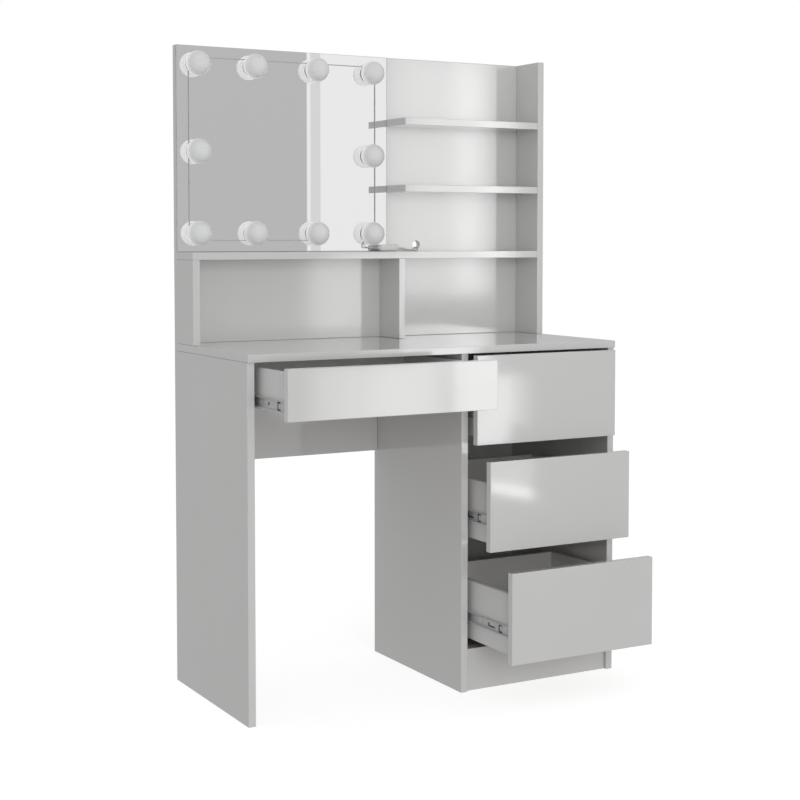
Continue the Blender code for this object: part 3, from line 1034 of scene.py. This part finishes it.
def make_slide(name, side, way):
    """One ball-bearing slide: the cabinet member, the drawer member, and the ball cage between them."""
    body = name + "_drawer"
    node = f"{name}_cabinet_rail_{side}"
    low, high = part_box(node)
    wall = (low.x if way > 0 else high.x) - way * GAP
    middle = (low.z + high.z) / 2
    front, rear = low.y, high.y
    deep = 4 * RAIL_SHEET

    def outline(path, thickness, origin, direction):
        return [(origin + direction * u, middle + v) for u, v in sheet_outline(path, thickness)]

    start = wall + way * GAP
    mesh = drawn_out(node + "_member", outline(cabinet_member_path(), RAIL_SHEET, start, way), (front, rear))
    tool = bmesh.new()
    web = start + way * RAIL_SHEET / 2
    fixed = (0.017, 0.241)
    for back in (*fixed, 0.113, 0.305):
        rod_in(tool, Vector((web, front + back, middle)), (1, 0, 0), 0.0023, deep, 20)
    for back in (0.035, 0.080, 0.145, 0.209, 0.273):
        slot_in(tool, Vector((web, front + back, middle)), 0.0035, 0.0022, deep)
    mesh = carved(mesh, tool)
    add_piece(node + "_member", mesh, (ZINC,), "carcase", (node,))
    inside = start + way * (RAIL_SHEET - 0.0001)
    screws = [Vector((inside, front + back, middle)) for back in fixed]
    group(f"{name}_cabinet_screws_{side}", SMALL_SCREW, screws, (way, 0, 0), ZINC, "carcase")

    node = f"{name}_drawer_rail_{side}"
    low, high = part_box(node)
    face = low.y
    start = wall + way * (SLIDE_SPACE - GAP)
    web = start - way * RAIL_SHEET / 2
    mesh = drawn_out(node + "_member", outline(drawer_member_path(), RAIL_SHEET, start, -way), (face, high.y))
    tool = bmesh.new()
    catch = (0.0335, 0.0480)
    box_in(
        tool,
        Vector((web - deep / 2, face + catch[0], middle - 0.0100)),
        Vector((web + deep / 2, face + catch[1], middle + 0.0074)),
    )
    if name == "wide":
        rod_in(tool, Vector((web, face + 0.0880, middle - 0.0005)), (1, 0, 0), 0.0037, deep, 20)
    else:
        slot_in(tool, Vector((web, face + 0.0750, middle - 0.0044)), 0.0110, 0.0017, deep)
        slot = Vector((web, face + 0.0862, middle - 0.0014))
        box_in(
            tool, slot - Vector((deep / 2, 0.0030, 0.0036)), slot + Vector((deep / 2, 0.0030, 0.0036))
        )
    fixed = (0.0120, 0.1280, 0.3000)
    for back in (0.1080, 0.1900, 0.2450):
        slot_in(tool, Vector((web, face + back, middle)), 0.0032, 0.0021, deep)
    mesh = carved(mesh, tool)
    add_piece(node + "_member", mesh, (ZINC,), body, (node,))
    inside = start - way * (RAIL_SHEET - 0.0001)
    screws = [Vector((inside, face + back, middle)) for back in fixed]
    group(f"{name}_slide_screws_{side}", SMALL_SCREW, screws, (-way, 0, 0), ZINC, body)

    # A thin black plate behind the catch window and the front slots: partly the slide's black release lever,
    # partly painted shade that keeps the slots dark.
    shape = bmesh.new()
    lever = (start + way * 0.00005, start + way * 0.00025)
    rounded_box(
        shape,
        Vector((min(lever), face + 0.0280, middle - 0.0102)),
        Vector((max(lever), face + 0.0960, middle + 0.0102)),
        0.00004,
        1,
    )
    add_piece(
        f"{name}_slide_lever_{side}",
        mesh_of(shape, "lever"),
        (BLACK_PLASTIC,),
        body,
    )
    shape = bmesh.new()
    tongue = (web + way * 0.0002, web - way * 0.0007)
    rounded_box(
        shape,
        Vector((min(tongue), face + catch[0] + 0.0012, middle - 0.0072)),
        Vector((max(tongue), face + catch[1] - 0.0046, middle + 0.0040)),
        0.0003,
        3,
    )
    add_piece(f"{name}_slide_catch_{side}", mesh_of(shape, "catch"), (ZINC,), body)

    start = wall
    cage = (front + 0.0030, front + 0.0930)
    mesh = drawn_out(f"{name}_ball_cage_{side}", outline(cage_path(), 0.0005, start, way), cage)
    add_piece(mesh.name, mesh, (DARK_ZINC,), "carcase")
    shape = bmesh.new()
    for number in range(8):
        for up in (-1, 1):
            bmesh.ops.create_icosphere(
                shape,
                subdivisions=2,
                radius=BALL / 2,
                matrix=Matrix.Translation(
                    (start + way * 0.0062, cage[0] + 0.006 + number * 0.0112, middle + up * 0.0131)
                ),
            )
    add_piece(f"{name}_slide_balls_{side}", mesh_of(shape, "balls", 80), (BALL_STEEL,), "carcase")


for drawer in DRAWERS:
    make_drawer_box(drawer)
    make_slide(drawer, "left", 1)
    make_slide(drawer, "right", -1)

# ---------------------------------------------------------------- mirror and lights


def make_mirror():
    """Silvered glass with a ground and polished rim."""
    low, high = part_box("mirror_glass")
    shape = bmesh.new()
    rounded_box(shape, low, high, 0.0009, 3)
    for face in shape.faces:
        face.material_index = 0 if face.normal.y < -0.999 else 1
    mesh = mesh_of(shape, "mirror_pane")
    piece = add_piece("mirror_pane", mesh, (SILVER, GLASS_EDGE), "carcase", ("mirror_glass",))
    return weighted(piece)


def diffuser_profile():
    """Half the outline of the opal globe, from its tip to the lip that clips on the base."""
    centre = BULB_REACH - BULB_RADIUS
    lowest = math.degrees(math.asin((COLLAR_TOP + 0.0006 - centre) / BULB_RADIUS))
    globe = arc((0, centre), BULB_RADIUS, 90, lowest, 16)
    globe[0] = (0.0, BULB_REACH)
    edge = globe[-1]
    return [
        *globe,
        (edge[0] - 0.0005, edge[1] - 0.0005),
        (edge[0] - 0.0014, edge[1] - 0.0007),
        (COLLAR_RADIUS + 0.0004, edge[1] - 0.0005),
        (COLLAR_RADIUS - 0.0006, edge[1] + 0.0006),
        (0.0, edge[1] + 0.0006),
    ]


def base_profile():
    """Half the outline of the base: a shallow dish with a shadow groove under the globe."""
    return [
        (0.0, COLLAR_TOP),
        (COLLAR_RADIUS - 0.0010, COLLAR_TOP),
        (COLLAR_RADIUS - 0.0006, COLLAR_TOP - 0.0003),
        (COLLAR_RADIUS - 0.0006, COLLAR_TOP - 0.0012),
        (COLLAR_RADIUS, COLLAR_TOP - 0.0016),
        (COLLAR_RADIUS, PAD_HEIGHT + 0.0012),
        *arc((COLLAR_RADIUS - 0.0010, PAD_HEIGHT + 0.0010), 0.0010, 0, -90, 3),
        (0.0, PAD_HEIGHT),
    ]


def make_bulbs():
    """Each globe light is an opal globe, a base and an adhesive foam pad."""
    middle = BULB_ROWS[1]
    parts = (
        ("globe", turned_mesh("globe", diffuser_profile(), 56), OPAL, "opal_plastic"),
        ("base", turned_mesh("base", base_profile(), 48), PLASTIC, "opal_plastic"),
        (
            "pad",
            turned_mesh(
                "pad",
                [(0, PAD_HEIGHT - 0.00005), (PAD_RADIUS, PAD_HEIGHT - 0.00005), (PAD_RADIUS, 0), (0, 0)],
                32,
            ),
            FOAM,
            "opal_plastic",
        ),
    )
    for row, height in zip(("top", "middle", "bottom"), BULB_ROWS):
        columns = BULB_COLUMNS[:: len(BULB_COLUMNS) - 1] if height == middle else BULB_COLUMNS
        for number, x in enumerate(columns, 1):
            node = f"{row}_bulb_{number}"
            place = facing(at(x, MIRROR_FACE + GAP, height), (0, -1, 0))
            for part, template, material, slot in parts:
                mesh = template.copy()
                mesh.transform(place)
                piece = add_piece(f"{node}_{part}", mesh, (material,), "carcase")
                if part == "globe":
                    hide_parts(node)


def rounded_corner(corner, before, after, radius):
    """Points of a quarter turn at a corner, from the side of before to the side of after."""
    back = (before - corner).normalized() * radius
    on = (after - corner).normalized() * radius
    centre = corner + back + on
    steps = 8
    turn = [i * math.pi / 2 / steps for i in range(steps + 1)]
    return [centre - on * math.cos(t) - back * math.sin(t) for t in turn]


def make_light_wire():
    """The wire that strings the lights together, clockwise from the bottom row, down to the dimmer."""
    depth = MIRROR_FACE + GAP + WIRE_DIAMETER / 2
    left = BULB_COLUMNS[0] - WIRE_OFFSET
    right = BULB_COLUMNS[-1] + WIRE_OFFSET
    low = BULB_ROWS[-1] - WIRE_OFFSET
    high = BULB_ROWS[0] + WIRE_OFFSET
    start = at(BULB_COLUMNS[2], depth, low)
    corners = [
        start,
        at(left, depth, low),
        at(left, depth, high),
        at(right, depth, high),
        at(right, depth, low),
        at(BULB_COLUMNS[-1], depth, low),
    ]
    path = [start]
    for before, corner, after in zip(corners, corners[1:], corners[2:]):
        path += rounded_corner(corner, before, after, WIRE_CORNER)
    entry = SHELF_TOP + GAP + DIMMER_SIZE[2] / 2
    last = BULB_COLUMNS[-1]
    tail = [
        at(last, depth, low),
        at(last - 0.009, depth, low - 0.0012),
        at(last - 0.0155, depth + 0.0005, low - 0.0065),
        at(last - 0.0155, depth + 0.0045, low - 0.0130),
        at(last - 0.0095, depth + 0.0135, entry + 0.0008),
        at(last - 0.0010, DIMMER_DEPTH - 0.0022, entry),
        at(DIMMER_LEFT - GAP, DIMMER_DEPTH, entry),
    ]
    curve = tube_curve("string_wire", path + through(tail, 8), WIRE_DIAMETER)
    add_piece("string_wire", curve, (CABLE,), "carcase", ("light_wire",))


def make_dimmer():
    """Two shells that meet at a shadow line over a black core that paints the line's shade, a touch button,
    and a strain relief at each end.
    """
    low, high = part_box("dimmer")
    middle = (low.z + high.z) / 2
    line = 0.00018
    for name, plane, normal, skin in (
        ("dimmer_top_shell", middle + line, (0, 0, -1), 0.0),
        ("dimmer_bottom_shell", middle - line, (0, 0, 1), 0.0),
        ("dimmer_core", None, None, 0.0006),
    ):
        shape = bmesh.new()
        inset = Vector((skin, skin, skin))
        rounded_box(shape, low + inset, high - inset, 0.0066 - skin, 8)
        if normal:
            cut = bmesh.ops.bisect_plane(
                shape,
                geom=[*shape.verts, *shape.edges, *shape.faces],
                plane_co=(0, 0, plane),
                plane_no=normal,
                clear_outer=True,
            )
            rim = [item for item in cut["geom_cut"] if isinstance(item, bmesh.types.BMEdge)]
            bmesh.ops.contextual_create(shape, geom=rim)
        # The core is black so that the line between the shells shows as painted shade.
        material = PLASTIC if normal else BLACK_PLASTIC
        piece = add_piece(name, mesh_of(shape, name, 50), (material,), "carcase")
        if name == "dimmer_top_shell":
            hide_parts("dimmer")
    top = Vector(((low.x + high.x) / 2 - 0.006, (low.y + high.y) / 2, high.z - 0.00005))
    button = turned_mesh(
        "dimmer_button",
        [(0, 0.0004), (0.0030, 0.0004), (0.0034, 0.0001), (0.0034, -0.0005), (0, -0.0005)],
        32,
    )
    button.transform(Matrix.Translation(top))
    add_piece("dimmer_button", button, (PLASTIC,), "carcase")
    relief = [(0.0, 0.0062), (0.0017, 0.0062)]
    for ring in range(4):
        height = 0.0050 - ring * 0.0013
        wide = 0.0019 + ring * 0.0003
        relief += [(wide, height + 0.0004), (wide, height - 0.0003), (wide - 0.0004, height - 0.0004)]
    relief += [(0.0030, 0.0), (0.0, 0.0)]
    for name, x, normal in (
        ("dimmer_lead_relief", high.x - 0.0003, (1, 0, -0.05)),
        ("dimmer_wire_relief", low.x + 0.0003, (-1, 0, 0)),
    ):
        scale = Matrix.Scale(1.0 if "lead" in name else 0.7, 4)
        mesh = turned_mesh(name, relief, 24)
        mesh.transform(facing(Vector((x, (low.y + high.y) / 2, middle)), normal) @ scale)
        add_piece(name, mesh, (PLASTIC,), "carcase")


make_mirror()
make_bulbs()
make_light_wire()
make_dimmer()

# ---------------------------------------------------------------- stage


def area_light(name, place, target, size, power, glossy_only=False, colour=(1, 1, 1)):
    data = bpy.data.lights.new(name, "AREA")
    data.shape = "RECTANGLE"
    data.size, data.size_y = size
    data.energy = power
    data.color = colour
    light = bpy.data.objects.new(name, data)
    light.location = place
    light.rotation_euler = (Vector(target) - Vector(place)).to_track_quat("-Z", "Y").to_euler()
    light.visible_camera = False
    if glossy_only:
        light.visible_diffuse = False
        light.visible_transmission = False
    bpy.context.scene.collection.objects.link(light)
    return light


def all_but(piece):
    """A light's receivers: everything except one piece."""
    receivers = bpy.data.collections.new("all_but_" + piece)
    receivers.objects.link(bpy.data.objects[piece])
    receivers.collection_objects[0].light_linking.link_state = "EXCLUDE"
    return receivers


def card(name, x, height, y, luminance, roll=0.0):
    """A glowing panel in front of the table that shows only in gloss."""
    size = (x[1] - x[0], height[1] - height[0])
    power = luminance * math.pi * size[0] * size[1]
    place = Vector(((x[0] + x[1]) / 2, y, (height[0] + height[1]) / 2))
    light = area_light(name, place, place + Vector((0, 1, 0)), size, power, glossy_only=True)
    light.rotation_euler.rotate_axis("Z", roll)
    return light


def make_cards():
    """Cards for the mirror and the upper unit far off, and nearer cards that the mirror doesn't show.

    Where they overlap their light adds, as long as no two stand in the same plane.
    """
    tilt = math.radians(-13)
    far = (
        ("mirror_card", (1.198, 1.595), (0.92, 1.80), 0.21),
        ("mirror_card_right", (1.262, 1.595), (0.92, 1.80), 0.17),
        ("mirror_card_edge", (1.198, 1.216), (0.92, 1.80), 0.17),
        ("cubby_card", (1.215, 1.595), (0.56, 0.918), 1.3),
        ("back_panel_card", (1.60, 2.14), (0.72, 1.80), 1.65),
        ("back_panel_band", (1.935, 2.09), (0.72, 1.80), 1.1),
    )
    near = (
        ("front_card", (0.385, 0.710), (0.42, 0.60), 1.85),
        ("front_card_top", (0.385, 0.640), (0.60, 0.682), 1.9),
        ("front_card_low", (0.540, 0.700), (0.402, 0.42), 2.0),
        ("front_card_soft", (0.71, 0.755), (0.46, 0.595), 1.0),
        ("front_card_rim", (0.755, 0.785), (0.445, 0.59), 0.5),
        ("low_bar", (0.573, 0.727), (0.275, 0.303), 2.8, tilt),
        ("low_bar_above", (0.573, 0.727), (0.301, 0.383), 0.7, tilt),
        ("wide_card", (-0.030, 0.384), (0.50, 0.664), 0.33),
        ("wide_card_inner", (0.008, 0.384), (0.50, 0.664), 0.45),
        ("wide_card_band", (0.075, 0.357), (0.50, 0.664), 0.25),
        ("wide_card_core", (0.155, 0.332), (0.50, 0.664), 0.30),
        ("top_edge_card", (0.270, 0.384), (0.666, 0.682), 1.2),
    )
    for number, (name, x, height, luminance) in enumerate(far):
        card(name, x, height, -2.5 - 0.002 * number, luminance)
    off_mirror = all_but("mirror_pane")
    for number, (name, x, height, luminance, *roll) in enumerate(near):
        light = card(name, x, height, -1.0 - 0.002 * number, luminance, *roll)
        light.light_linking.receiver_collection = off_mirror


def make_floor():
    shape = bmesh.new()
    bmesh.ops.create_grid(shape, x_segments=2, y_segments=2, size=30)
    mesh = bpy.data.meshes.new("floor")
    shape.to_mesh(mesh)
    shape.free()
    made, tree, shader = finish_of("floor", (0.40, 0.40, 0.40), 0.9)
    shader.inputs["Emission Color"].default_value = (1, 1, 1, 1)
    shader.inputs["Emission Strength"].default_value = 0.80
    shader.inputs["Specular IOR Level"].default_value = 0.0
    mesh.materials.append(made)
    floor = bpy.data.objects.new("floor", mesh)
    floor.visible_diffuse = False
    floor.visible_glossy = False
    bpy.context.scene.collection.objects.link(floor)


def make_world():
    world = bpy.data.worlds.new("studio")
    world.use_nodes = True
    tree = world.node_tree
    tree.nodes.clear()
    seen = linked(tree, "ShaderNodeBackground", Color=(1, 1, 1, 1), Strength=1.0)
    toward = tree.nodes.new("ShaderNodeTexCoord").outputs["Generated"]
    upward = linked(tree, "ShaderNodeSeparateXYZ", Vector=toward).outputs["Z"]
    glow = linked(tree, "ShaderNodeMapRange", Value=upward)
    for name, value in (("From Min", -1.0), ("To Min", 0.46), ("To Max", 0.57)):
        glow.inputs[name].default_value = value
    light = linked(
        tree, "ShaderNodeBackground", Color=(1, 1, 1, 1), Strength=glow.outputs["Result"]
    )
    path = tree.nodes.new("ShaderNodeLightPath")
    mix = tree.nodes.new("ShaderNodeMixShader")
    tree.links.new(path.outputs["Is Camera Ray"], mix.inputs[0])
    tree.links.new(light.outputs[0], mix.inputs[1])
    tree.links.new(seen.outputs[0], mix.inputs[2])
    out = tree.nodes.new("ShaderNodeOutputWorld")
    tree.links.new(mix.outputs[0], out.inputs[0])
    bpy.context.scene.world = world


def make_key():
    """A large soft light, in front and a little to the left."""
    key = area_light("key", (-0.8, -4.3, 1.4), (0, 0, 0.6), (2.4, 2.0), 57)
    key.visible_glossy = False


make_floor()
make_world()
make_key()
make_cards()
bpy.context.scene.view_settings.view_transform = "Standard"
